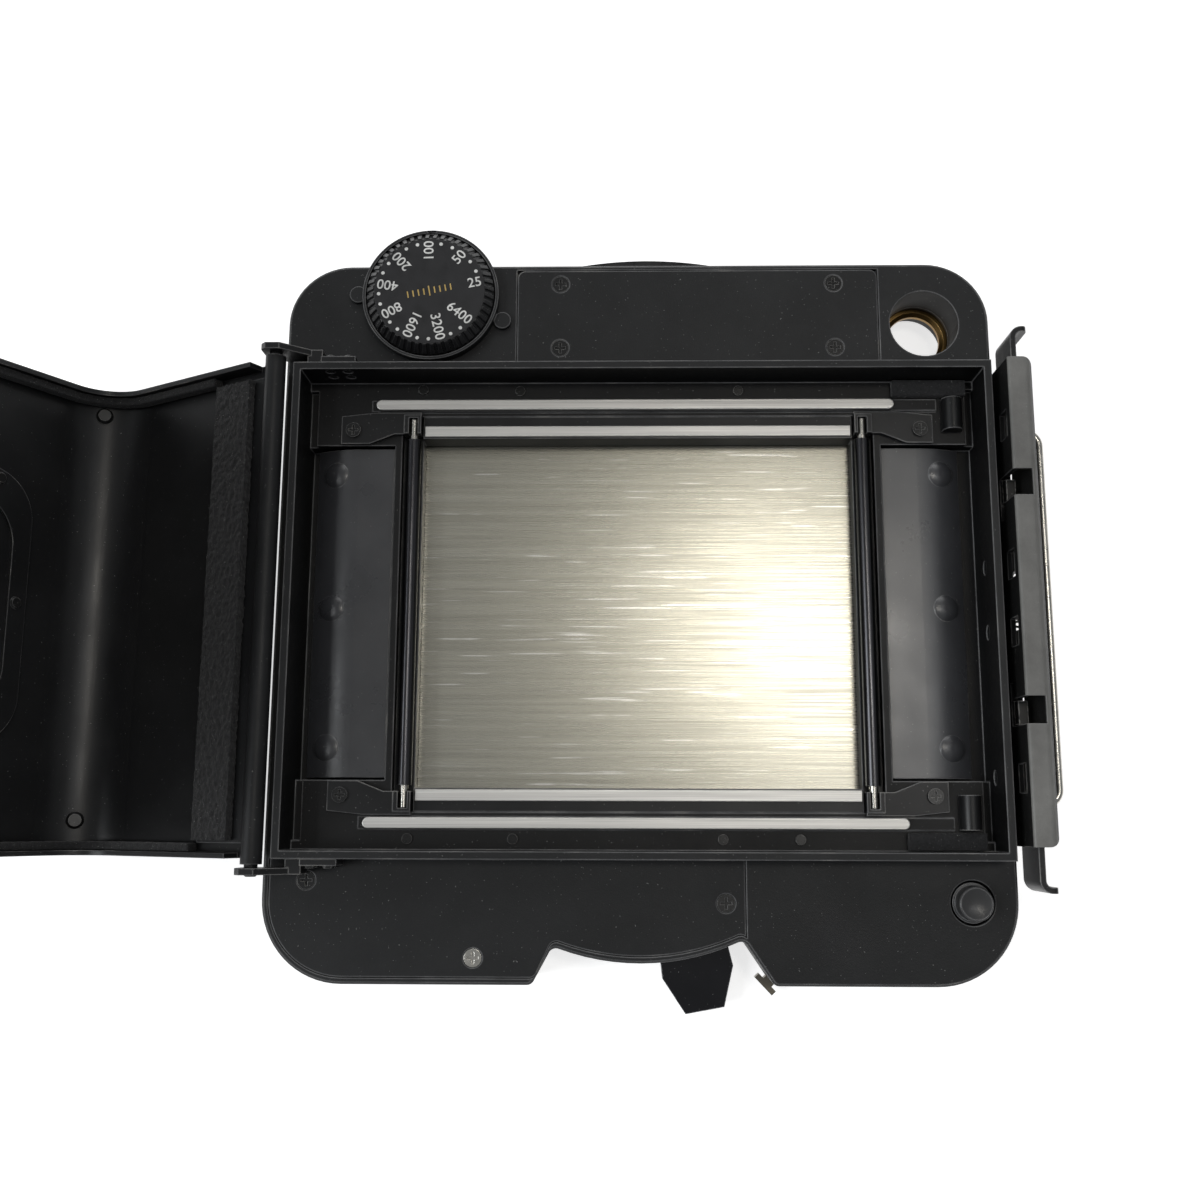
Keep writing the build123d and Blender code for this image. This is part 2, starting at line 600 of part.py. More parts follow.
# ------------------------------------------------------------------ hinge
ear_y = box_half_height + 1.3
ear_steps = [(5.4, -4.5), (2.3, -4.5), (-1.9, -1.4), (-1.9, 1.8), (-1.1, 2.6), (1.1, 2.6), (5.4, -0.8)]
ear_outline = [(hinge_x + dx, hinge_z + dz) for dx, dz in ear_steps]
pad_z = (shell_top + 0.4, rim_top - 0.2)
pin_half = ear_y + hinge_ear_sheet + 0.3

with BuildPart() as hinge_brackets:
    for side in (-1, 1):
        with BuildSketch(Plane.XZ.offset(-side * ear_y)):
            with BuildLine():
                Polyline(*ear_outline, close=True)
            make_face()
        extrude(amount=-side * hinge_ear_sheet)
        block(hinge_pad_x, sorted((side * box_half_height, side * (box_half_height + 1))), pad_z)
        block((ear_outline[0][0] - 0.6, hinge_pad_x[0] + 0.1),
              sorted((side * box_half_height, side * (ear_y + hinge_ear_sheet))),
              (ear_outline[0][1], ear_outline[-1][1]))
    with Locations((hinge_x, 0, hinge_z)):
        Cylinder(hinge_pin_radius + press_gap, 2 * pin_half, rotation=(90, 0, 0), mode=Mode.SUBTRACT)
    with Locations(*[(x, 0, z) for x in hinge_rivet_x for z in hinge_rivet_z]):
        Cylinder(rivet_radius + press_gap, 2 * pin_half, rotation=(90, 0, 0), mode=Mode.SUBTRACT)
save(hinge_brackets, "hinge_brackets")

with BuildPart() as hinge_pin:
    with Locations((hinge_x, 0, hinge_z)):
        Cylinder(hinge_pin_radius, 2 * pin_half, rotation=(90, 0, 0))
    chamfer(hinge_pin.edges(), 0.25)
save(hinge_pin, "hinge_pin")


def rivets(label, seats, head, shank):
    """Round-headed rivets; each seat is a plane under the head, facing out."""
    with BuildPart() as pieces:
        for seat in seats:
            with BuildSketch(seat):
                Circle(shank[0])
            extrude(amount=-shank[1])
            with BuildSketch(seat):
                Circle(head[0])
            extrude(amount=head[1], taper=35)
    save(pieces, label)


rivet_head = (1.05, 0.4)
hinge_seats = [Plane((x, side * (box_half_height + 1), z), z_dir=(0, side, 0))
               for side in (-1, 1) for x in hinge_rivet_x for z in hinge_rivet_z]
latch_seats = [Plane((latch_wall_x + latch_sheet, latch_middle_y + y, latch_rivet_z), z_dir=(1, 0, 0))
               for y in latch_rivet_y]
catch_seats = [Plane((side * sum(catch_x) / 2, y, 0.55), z_dir=(0, 0, -1)) for side in (-1, 1)
               for y in (-catch_rivet_y, catch_rivet_y)]
rivets("body_rivets", hinge_seats + latch_seats + catch_seats, rivet_head, (rivet_radius, chamber_wall + 0.9))

# ------------------------------------------------------------------ latches
latch_half_length = 37.2
latch_outer_x = latch_wall_x + 4.0
latch_top_z = rim_top + 3.2
latch_skirt_z = 10.0
window_y = (-27.2, -5.2, 5.2, 27.2)
window_z = (15.6, 19.2)
catch_y = 17.3                 # door catches, above and below the middle
catch_width = 3.4
nose_z = (14.2, 15.2)
nose_y = (catch_y - 1.8, catch_y + 1.8)

with BuildPart() as latch_channel:
    with BuildSketch(Plane.XZ) as section:
        with Locations((latch_wall_x, 9.0)):
            Rectangle(latch_outer_x - latch_wall_x, latch_top_z - 9.0, align=(low, low))
        corners = section.vertices().group_by(Axis.Y)[-1].sort_by(Axis.X)
        fillet(corners[0], 0.5)
        fillet(section.vertices().group_by(Axis.Y)[-1].sort_by(Axis.X)[-1], 1.4)
        with Locations((latch_wall_x + latch_sheet, 8.0)):
            Rectangle(latch_outer_x - latch_wall_x - 2 * latch_sheet, latch_top_z - latch_sheet - 8.0,
                      align=(low, low), mode=Mode.SUBTRACT)
        with Locations((latch_outer_x - latch_sheet - 0.1, latch_skirt_z)):
            Rectangle(3, 3, align=(low, high), mode=Mode.SUBTRACT)
    extrude(amount=latch_half_length, both=True)
    with BuildSketch(Plane.XY.offset(8)) as plan:
        with Locations((latch_wall_x - 1, 0)):
            Rectangle(latch_outer_x - latch_wall_x + 1, 2 * latch_half_length, align=(low, mid))
        fillet(plan.vertices().group_by(Axis.X)[-1], 1.8)
    extrude(amount=20, mode=Mode.INTERSECT)
    wall = (latch_wall_x - 0.1, latch_wall_x + latch_sheet + 0.1)
    for y in window_y:
        block(wall, (y - latch_window_length / 2, y + latch_window_length / 2), window_z,
              mode=Mode.SUBTRACT)
    for side in (-1, 1):
        block((wall[0], latch_wall_x + 2.9), sorted((side * (nose_y[0] - 0.25), side * (nose_y[1] + 0.25))),
              (nose_z[0] - 0.3, latch_top_z + 1), mode=Mode.SUBTRACT)
        block(wall, sorted((side * (nose_y[0] - latch_travel - 0.3), side * (nose_y[1] + 0.25))),
              (nose_z[0] - 0.3, nose_z[1] + 0.4), mode=Mode.SUBTRACT)
    with Locations(*[(latch_wall_x, y, latch_rivet_z) for y in latch_rivet_y]):
        Cylinder(rivet_radius + press_gap, 3, rotation=(0, 90, 0), mode=Mode.SUBTRACT)
save(latch_channel, "latch_channel", latch_middle_y)

strip_x = (latch_wall_x + 1.25, latch_wall_x + 2.05)
strip_y = (latch_travel + 2.1, latch_half_length - 1.2)
strip_z = (11.9, 16.5)
strip_dip_y = (catch_y - 4.8, catch_y + 4.7)
strip_dip_z = 13.0
tab_sheet = 0.9
tab_y = (latch_half_length - 3.7, latch_half_length + 4.9)
tab_z = (8.6, 16.4)
tab_bend = 1.0                 # inside radius of the turned-out end
tab_tip = 0.9
for side, name in ((1, "upper"), (-1, "lower")):
    with BuildPart() as latch_strip:
        block(strip_x, sorted(side * y for y in strip_y), strip_z)
        block(strip_x, sorted(side * y for y in strip_dip_y), (strip_dip_z, strip_z[1]), mode=Mode.SUBTRACT)
        block(strip_x, sorted(side * y for y in nose_y), (strip_z[0], nose_z[1]))
        block((latch_wall_x + 0.15, strip_x[0]), sorted(side * y for y in nose_y), nose_z)
        chamfer(latch_strip.faces().sort_by(Axis.X)[0].edges().sort_by(Axis.Z)[-1], 0.5)
    save(latch_strip, f"{name}_latch_slide", latch_middle_y)
    tab_x = strip_x[1] + tab_sheet
    bend_centre = (tab_x + tab_bend, side * tab_y[1])
    tip_y = side * (tab_y[1] + tab_bend)
    outer_bend = tab_bend + tab_sheet
    half_turn = math.sqrt(0.5)
    with BuildPart() as tab:
        with BuildSketch(Plane.XY.offset(tab_z[0])):
            with BuildLine():
                Polyline((bend_centre[0], tip_y), (bend_centre[0] + tab_tip, tip_y),
                         (bend_centre[0] + tab_tip, tip_y + side * tab_sheet),
                         (bend_centre[0], tip_y + side * tab_sheet))
                ThreePointArc((bend_centre[0], tip_y + side * tab_sheet),
                              (bend_centre[0] - outer_bend * half_turn,
                               bend_centre[1] + side * outer_bend * half_turn),
                              (strip_x[1], bend_centre[1]))
                Polyline((strip_x[1], bend_centre[1]), (strip_x[1], side * tab_y[0]),
                         (tab_x, side * tab_y[0]), (tab_x, bend_centre[1]))
                ThreePointArc((tab_x, bend_centre[1]),
                              (bend_centre[0] - tab_bend * half_turn,
                               bend_centre[1] + side * tab_bend * half_turn), (bend_centre[0], tip_y))
            make_face()
        extrude(amount=tab_z[1] - tab_z[0])
        fillet(tab.faces().sort_by(Axis.X)[-1].edges().filter_by(Axis.Y), tab_tip - 0.05)
        fillet(tab.faces().sort_by(Axis.Y)[0 if side > 0 else -1].edges().filter_by(Axis.X), 0.8)
    save(tab, f"{name}_finger_tab", latch_middle_y)


def coil(label, base, way, wire_radius, mean_radius, pitch, height):
    """A coil spring wound from the centre of its base in the given direction."""
    with BuildPart() as spring:
        with BuildLine() as turns:
            Helix(pitch, height, mean_radius, center=base, direction=way)
        start = turns.wires()[0]
        with BuildSketch(Plane(start @ 0, z_dir=start % 0)):
            Circle(wire_radius)
        sweep(path=start, is_frenet=True)
    save(spring, label)


latch_spring_half = strip_y[0] - 0.3    # to the centre of the end turn
coil("latch_spring", (latch_wall_x + 2.0, latch_middle_y - latch_spring_half, 13.0), (0, 1, 0),
     0.2, 0.9, 1.25, 2 * latch_spring_half)

# ------------------------------------------------------------------ lock button
button_base = shell_top - 2.0
button_top = shell_top + 2.2
button_travel = 1.5
with BuildPart() as lock_button:
    with Locations((button_x, button_y, button_base)):
        Cylinder(button_radius, button_top - button_base, align=(mid, mid, low))
        Cylinder(button_well_radius - 0.35, 1.7, align=(mid, mid, low))
        Cylinder(button_stem_radius, 3.0, align=(mid, mid, high))
    fillet(lock_button.faces().sort_by(Axis.Z)[-1].edges(), 0.35)
    with Locations((button_x, button_y, button_top + 6.6)):
        Sphere(7.0, mode=Mode.SUBTRACT)
save(lock_button, "lock_button")

well_floor = shell_top - button_well_depth
coil("button_spring", (button_x, button_y, well_floor + 0.3), (0, 0, 1), 0.25, 2.2, 0.9,
     button_base - well_floor - 0.6)

# ------------------------------------------------------------------ coupling bush, contacts, lug
bush_z = (3.7, 5.0)
with BuildPart() as coupling_bush:
    with Locations((bush_x, bush_y, bush_z[0])):
        Cylinder(coupling_hole_radius - press_gap, bush_z[1] - bush_z[0], align=(mid, mid, low))
        Cylinder(bush_bore_radius, bush_z[1] - bush_z[0], align=(mid, mid, low), mode=Mode.SUBTRACT)
    mouth = coupling_bush.faces().sort_by(Axis.Z)[-1].edges().sort_by(SortBy.RADIUS)[0]
    chamfer(mouth, 0.6)
save(coupling_bush, "coupling_bush")

contact_pins_y = contact_low + 2.6
contact_pin_points = [(contact_x + step, contact_pins_y) for step in (-8.0, -4.0, 0.0, 4.0, 8.0)]
contact_pin_radius = 0.6
contact_bottom = 0.6
with BuildPart() as contact_block:
    with BuildSketch(Plane.XY.offset(contact_bottom)):
        with BuildLine():
            left = contact_x - contact_half_width
            right = contact_x + contact_half_width
            Polyline((left, contact_shoulder), (left, contact_low + 0.1), (right, contact_low + 0.1),
                     (right, contact_shoulder))
            ThreePointArc((right, contact_shoulder), (contact_x, contact_crown), (left, contact_shoulder))
        make_face()
    extrude(amount=contact_thickness - contact_bottom)
    fillet(contact_block.edges().filter_by(Axis.Z).group_by(Axis.Y)[-1], 1.5)
    with Locations(*[(x, y, contact_bottom) for x, y in contact_pin_points]):
        Cylinder(contact_pin_radius + press_gap, 3.0, align=(mid, mid, low), mode=Mode.SUBTRACT)
save(contact_block, "contact_block")

with BuildPart() as contact_pins:
    with Locations(*[(x, y, 0.1) for x, y in contact_pin_points]):
        Cylinder(contact_pin_radius, 3.4, align=(mid, mid, low))
    fillet(contact_pins.edges().group_by(Axis.Z)[0], 0.25)
save(contact_pins, "contact_pins")

with BuildPart() as index_lug:
    with BuildSketch(lug_plane):
        Rectangle(lug_stem[0], lug_stem[1], align=(low, mid))
        with Locations((-0.4, 0)):
            Rectangle(0.9, 3.75, align=(low, mid))
    extrude(amount=lug_thickness)
save(index_lug, "index_lug")

with BuildPart() as mount_catches:
    for side in (-1, 1):
        block(sorted(side * x for x in (catch_x[0] + 0.1, catch_x[1] - 0.1)),
              (-catch_half_height + 0.1, catch_half_height - 0.1), (0.05, catch_sheet))
    with Locations(*[(side * sum(catch_x) / 2, 0, catch_sheet) for side in (-1, 1)]):
        Cylinder(1.6, catch_sheet, align=(mid, mid, high), mode=Mode.SUBTRACT)
    with Locations(*[(side * sum(catch_x) / 2, y, 0) for side in (-1, 1)
                     for y in (-catch_rivet_y, catch_rivet_y)]):
        CounterBoreHole(rivet_radius + press_gap, 1.15, 0.5)
save(mount_catches, "mount_catches")


# ------------------------------------------------------------------ release lever
lever_angle = math.radians(lever_tilt)
lever_plane = Plane((*lever_pivot, lever_z), x_dir=(math.cos(lever_angle), math.sin(lever_angle), 0),
                    z_dir=(0, 0, 1))
lever_head = [(5.3, -8.5), (5.6, -12.8), (3.05, -18.66), (-3.05, -18.66), (-5.6, -12.8), (-5.3, -8.5)]
lever_ridge = [(5.3, -13.4), (3.0, -18.4), (-3.0, -18.4), (-5.3, -13.4)]
with BuildPart() as release_lever:
    with BuildSketch(lever_plane):
        Circle(4.0)
        with Locations((0, 0)):
            Rectangle(8.0, 10.0, align=(mid, high))
        with BuildLine():
            Polyline(*lever_head, close=True)
        make_face()
    extrude(amount=lever_thickness)
    with BuildSketch(lever_plane.offset(lever_thickness)):
        with BuildLine():
            Polyline(*lever_ridge, close=True)
        make_face()
    extrude(amount=1.0, taper=40)
    with BuildSketch(lever_plane):
        Circle(lever_pin_radius + fit_gap)
    extrude(amount=lever_thickness, mode=Mode.SUBTRACT)
save(release_lever, "release_lever")

with BuildPart() as lever_pin:
    with Locations((*lever_pivot, lever_z - 0.45)):
        Cylinder(lever_pin_radius, front_top - lever_z + 0.4, align=(mid, mid, low))
save(lever_pin, "lever_pin")

# ------------------------------------------------------------------ film-speed dial
dial_z = shell_top + 0.55
dial_top = shell_top + 3.2
ring_top = shell_top + 1.8
ring_floor = shell_top + 0.5
with BuildPart() as dial_base:
    with Locations((dial_x, dial_y, shell_top)):
        Cylinder(dial_ring_radius, ring_top - shell_top, align=(mid, mid, low))
        with PolarLocations(12.0, 1, start_angle=178):
            Cylinder(1.4, 0.9, align=(mid, mid, low))
        with PolarLocations(12.4, 1, start_angle=-19.5):
            Cylinder(1.4, 0.9, align=(mid, mid, low))
    with Locations((dial_x, dial_y, ring_floor)):
        Cylinder(dial_radius + 0.25, 3, align=(mid, mid, low), mode=Mode.SUBTRACT)
        Cylinder(dial_shaft_radius + fit_gap, 3, mode=Mode.SUBTRACT)
    with BuildSketch(Plane.XY.offset(ring_top - 0.5)):
        with Locations((dial_x, dial_y + dial_ring_radius - 0.5)):
            Triangle(a=1.6, B=60, C=60, rotation=180)
    extrude(amount=2, mode=Mode.SUBTRACT)
save(dial_base, "dial_base")

dial_face_radius = 9.0
dial_bevel = 1.2
knurl_count = 48
with BuildPart() as speed_dial:
    with Locations((dial_x, dial_y, dial_z)):
        Cylinder(dial_radius, dial_top - dial_z, align=(mid, mid, low))
        Cylinder(dial_shaft_radius + press_gap, 1.3, align=(mid, mid, low), mode=Mode.SUBTRACT)
    chamfer(speed_dial.faces().sort_by(Axis.Z)[-1].edges(), dial_bevel)
    with Locations((dial_x, dial_y, dial_top)):
        Cylinder(dial_face_radius, 0.3, mode=Mode.SUBTRACT)
    with Locations((dial_x, dial_y, dial_top - dial_bevel / 2)):
        with PolarLocations(dial_radius - dial_bevel / 2 + 0.06, knurl_count):
            Cylinder(0.34, 2.6, rotation=(0, -45, 0), mode=Mode.SUBTRACT)
save(speed_dial, "speed_dial")

with BuildPart() as dial_face:
    with Locations((dial_x, dial_y, dial_top - 0.15)):
        Cylinder(dial_face_radius - 0.05, 0.12, align=(mid, mid, low))
save(dial_face, "dial_face")

with BuildPart() as dial_shaft:
    with Locations((dial_x, dial_y, front_top + 1.1)):
        Cylinder(dial_shaft_radius, dial_z + 1.2 - front_top - 1.1, align=(mid, mid, low))
    with Locations((dial_x, dial_y, dial_pocket_top - 0.2)):
        Cylinder(2.6, 0.5, align=(mid, mid, high))
save(dial_shaft, "dial_shaft")

brush_radius = dial_pocket_y[1] - dial_y - 0.3    # stays inside the pocket all the way round
with BuildPart() as dial_brush:
    with Locations((dial_x, dial_y, front_top + 1.4)):
        Cylinder(brush_radius, 0.4, align=(mid, mid, low))
        Cylinder(dial_shaft_radius + press_gap, 0.4, align=(mid, mid, low), mode=Mode.SUBTRACT)
    with Locations((dial_x + brush_radius - 0.8, dial_y, front_top + 1.15)):
        Box(1.5, 1.2, 0.65, align=(mid, mid, low))
save(dial_brush, "dial_brush")

with BuildPart() as dial_contact_board:
    block((dial_x - dial_pocket_half + 0.2, dial_x + dial_pocket_half - 0.2),
          (dial_pocket_y[0] + 0.2, dial_pocket_y[1] - 0.2), (front_top + 0.05, front_top + 0.85))
save(dial_contact_board, "dial_contact_board")

# ------------------------------------------------------------------ rear door
# u runs from the hinge across the closed door and v out of the rear, both from the hinge axis.
open_angle = math.radians(door_open_angle)
u_dir = (math.cos(open_angle), 0, math.sin(open_angle))
v_dir = (-math.sin(open_angle), 0, math.cos(open_angle))
door_plane = Plane((hinge_x, 0, hinge_z), x_dir=u_dir, z_dir=(0, -1, 0))
door_right = latch_wall_x - 0.3 - hinge_x
door_middle = (door_right - barrel_radius) / 2
door_low = barrel_radius + 0.15
inner_v = door_depth - door_sheet


def door_point(u, v, y=0.0):
    """Where a point of the door is with the door open."""
    return (hinge_x + u * u_dir[0] + v * v_dir[0], y, hinge_z + u * u_dir[2] + v * v_dir[2])


def door_way(a, b):
    """A direction in the door's section, with the door open."""
    return (a * u_dir[0] + b * v_dir[0], 0, a * u_dir[2] + b * v_dir[2])


def back_plane(v):
    """A plane parallel to the door's back, with u and Y as its axes."""
    return Plane(door_point(0, v), x_dir=u_dir, z_dir=v_dir)


def door_block(u_range, v_range, y_range):
    """A box in the door's own directions, added to the part that is being built."""
    with BuildSketch(door_plane.offset(-y_range[1]), mode=Mode.PRIVATE) as face:
        with Locations((u_range[0], v_range[0])):
            Rectangle(u_range[1] - u_range[0], v_range[1] - v_range[0], align=(low, low))
    extrude(face.sketch, amount=y_range[1] - y_range[0])


def door_section(inset, start):
    """The door's outline seen along the hinge, drawn in by an inset and cut off at a height."""
    left = -barrel_radius + inset
    right = door_right - inset
    with BuildSketch(mode=Mode.PRIVATE) as section:
        with Locations(((left + right) / 2, start)):
            Rectangle(right - left, door_depth - inset - start, align=(mid, low))
        fillet(section.vertices().group_by(Axis.Y)[-1], door_corner_radius - inset)
    return section.sketch


def door_band(outer, inner, start, y_range):
    """A band that follows the door's section, between two insets and two Y positions."""
    with BuildSketch(door_plane.offset(-y_range[1]), mode=Mode.PRIVATE) as band:
        add(door_section(outer, start))
        add(door_section(inner, start - 1), mode=Mode.SUBTRACT)
    extrude(band.sketch, amount=y_range[1] - y_range[0])


liner_u = (13.9, 98.5)
liner_half = 21.9
liner_sheet = 0.5
liner_rivets = [(15.7, 0.8), (20.0, 20.2), (20.0, -20.2), (96.7, 0.8), (92.4, 20.2), (92.4, -20.2)]
door_rivet_radius = 0.6
door_screw_radius = 0.8
corner_y = (34.9, -33.1)
corner_head = (1.4, 0.6)
corner_arc = door_corner_radius - door_sheet - 0.13   # flat heads in the round corner
corner_planes = []
for side in (-1, 1):
    arc_u = door_middle + side * (door_right + barrel_radius - 2 * door_corner_radius) / 2
    arc_v = door_depth - door_corner_radius
    for y in corner_y:
        corner_planes.append(Plane(door_point(arc_u + side * 0.616 * corner_arc, arc_v + 0.788 * corner_arc, y),
                                   x_dir=(0, 1, 0), z_dir=door_way(-side * 0.616, -0.788)))
lip_z = door_low + 1.8
catch_spots = (-catch_y, catch_y)

with BuildPart() as door_shell:
    door_band(0, door_sheet, door_low, (-box_half_height, box_half_height))
    door_band(0, door_lip_depth, lip_z, (-box_half_height, -box_half_height + door_lip_sheet))
    door_band(0, door_lip_depth, lip_z, (box_half_height - door_lip_sheet, box_half_height))
    with BuildSketch(back_plane(inner_v - 1)):
        with Locations(*liner_rivets):
            Circle(door_rivet_radius + press_gap)
    extrude(amount=3, mode=Mode.SUBTRACT)
    for seat in corner_planes:
        with BuildSketch(seat.offset(1)):
            Circle(door_screw_radius + press_gap)
        extrude(amount=-3, mode=Mode.SUBTRACT)
save(door_shell, "door_shell")

with BuildPart() as door_barrel:
    with BuildSketch(door_plane):
        Circle(barrel_radius)
    extrude(amount=ear_y - 0.5, both=True)
    door_block((-0.6, 0), (0.8, 11.9), (-36.4, 36.4))
    with BuildSketch(door_plane):
        Circle(hinge_pin_radius + fit_gap)
    extrude(amount=ear_y, both=True, mode=Mode.SUBTRACT)
save(door_barrel, "door_barrel")

with BuildPart() as door_liner:
    with BuildSketch(back_plane(inner_v - liner_sheet)):
        with Locations((sum(liner_u) / 2, 0)):
            RectangleRounded(liner_u[1] - liner_u[0], 2 * liner_half, 8)
            RectangleRounded(liner_u[1] - liner_u[0] - 6.2, 2 * liner_half - 8.8, 8, mode=Mode.SUBTRACT)
        with Locations(*liner_rivets):
            Circle(door_rivet_radius + press_gap, mode=Mode.SUBTRACT)
    extrude(amount=liner_sheet)
save(door_liner, "door_liner")

rivet_planes = [Plane(door_point(u, inner_v - liner_sheet, y), x_dir=(0, 1, 0), z_dir=door_way(0, -1))
                for u, y in liner_rivets]
rivets("door_rivets", rivet_planes, (1.0, 0.35), (door_rivet_radius, liner_sheet + door_sheet - 0.05))
rivets("door_corner_screws", corner_planes, corner_head, (door_screw_radius, door_sheet + 0.05))

memo_u = (15.0, 97.0)
memo_half = 26.0
memo_sheet = 0.5
memo_rim = 1.5
with BuildPart() as memo_holder:
    door_block(memo_u, (door_depth, door_depth + memo_sheet), (-memo_half, memo_half))
    for side in (-1, 1):
        edge = sorted((side * (memo_half - memo_sheet), side * memo_half))
        lip = sorted((side * (memo_half - 3.0), side * memo_half))
        door_block(memo_u, (door_depth, door_depth + memo_rim), edge)
        door_block(memo_u, (door_depth + memo_rim - memo_sheet, door_depth + memo_rim), lip)
    door_block((memo_u[0], memo_u[0] + memo_sheet), (door_depth, door_depth + memo_rim),
               (-memo_half, memo_half))
    door_block((memo_u[0], memo_u[0] + 3.0), (door_depth + memo_rim - memo_sheet, door_depth + memo_rim),
               (-memo_half, memo_half))
save(memo_holder, "memo_holder")

foam_sheet = 1.6
with BuildPart() as hinge_foam:
    door_block((0.05, 0.05 + foam_sheet), (3.9, 11.7), (-36.1, 36.1))
save(hinge_foam, "hinge_foam")

foam_right = door_right - door_sheet - 0.05
with BuildPart() as latch_foam:
    door_block((foam_right - foam_sheet, foam_right), (7.5, 13.0), (-36.1, 36.1))
save(latch_foam, "latch_foam")

felt_outer_y = box_half_height - door_lip_sheet - 0.05
with BuildPart() as door_felts:
    door_band(door_sheet + 0.05, door_sheet + 2.0, 12.2, (-felt_outer_y, -felt_outer_y + felt_thickness))
    door_band(door_sheet + 0.05, door_sheet + 2.0, 12.2, (felt_outer_y - felt_thickness, felt_outer_y))
save(door_felts, "door_felts")

catch_leaf_u = (door_right - door_sheet - 0.85, door_right - door_sheet - 0.05)
catch_hook_u = (door_right - 0.9, door_right - 0.1)
with BuildPart() as door_catches:
    for y in catch_spots:
        width = (y - catch_width / 2, y + catch_width / 2)
        door_block(catch_leaf_u, (1.0, 7.0), width)
        door_block((catch_leaf_u[0], catch_hook_u[1]), (1.0, 1.65), width)
        door_block(catch_hook_u, (-3.8, 1.65), width)
save(door_catches, "door_catches")
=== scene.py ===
"""The looks of a roll-film back: materials, light seals, dial print, light and camera."""
import json
import math

import bpy
from mathutils import Matrix, Vector, noise

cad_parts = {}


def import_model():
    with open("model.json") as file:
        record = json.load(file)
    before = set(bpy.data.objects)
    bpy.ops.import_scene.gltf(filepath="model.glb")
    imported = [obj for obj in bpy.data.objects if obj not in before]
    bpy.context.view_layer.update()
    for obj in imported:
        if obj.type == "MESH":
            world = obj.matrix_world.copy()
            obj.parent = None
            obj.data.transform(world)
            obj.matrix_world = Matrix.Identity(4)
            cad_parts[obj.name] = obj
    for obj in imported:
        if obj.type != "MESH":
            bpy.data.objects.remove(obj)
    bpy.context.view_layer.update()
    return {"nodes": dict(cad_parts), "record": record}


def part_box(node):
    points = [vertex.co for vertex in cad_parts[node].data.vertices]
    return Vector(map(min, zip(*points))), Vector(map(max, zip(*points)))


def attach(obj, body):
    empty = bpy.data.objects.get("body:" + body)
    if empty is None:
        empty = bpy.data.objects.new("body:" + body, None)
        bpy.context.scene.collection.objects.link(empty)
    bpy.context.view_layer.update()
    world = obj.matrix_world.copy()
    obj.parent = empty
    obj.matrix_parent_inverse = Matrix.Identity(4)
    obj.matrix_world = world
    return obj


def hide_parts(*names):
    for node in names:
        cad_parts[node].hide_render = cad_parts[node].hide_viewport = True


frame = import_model()
NODES = frame["nodes"]
MM = 0.001
scene = bpy.context.scene


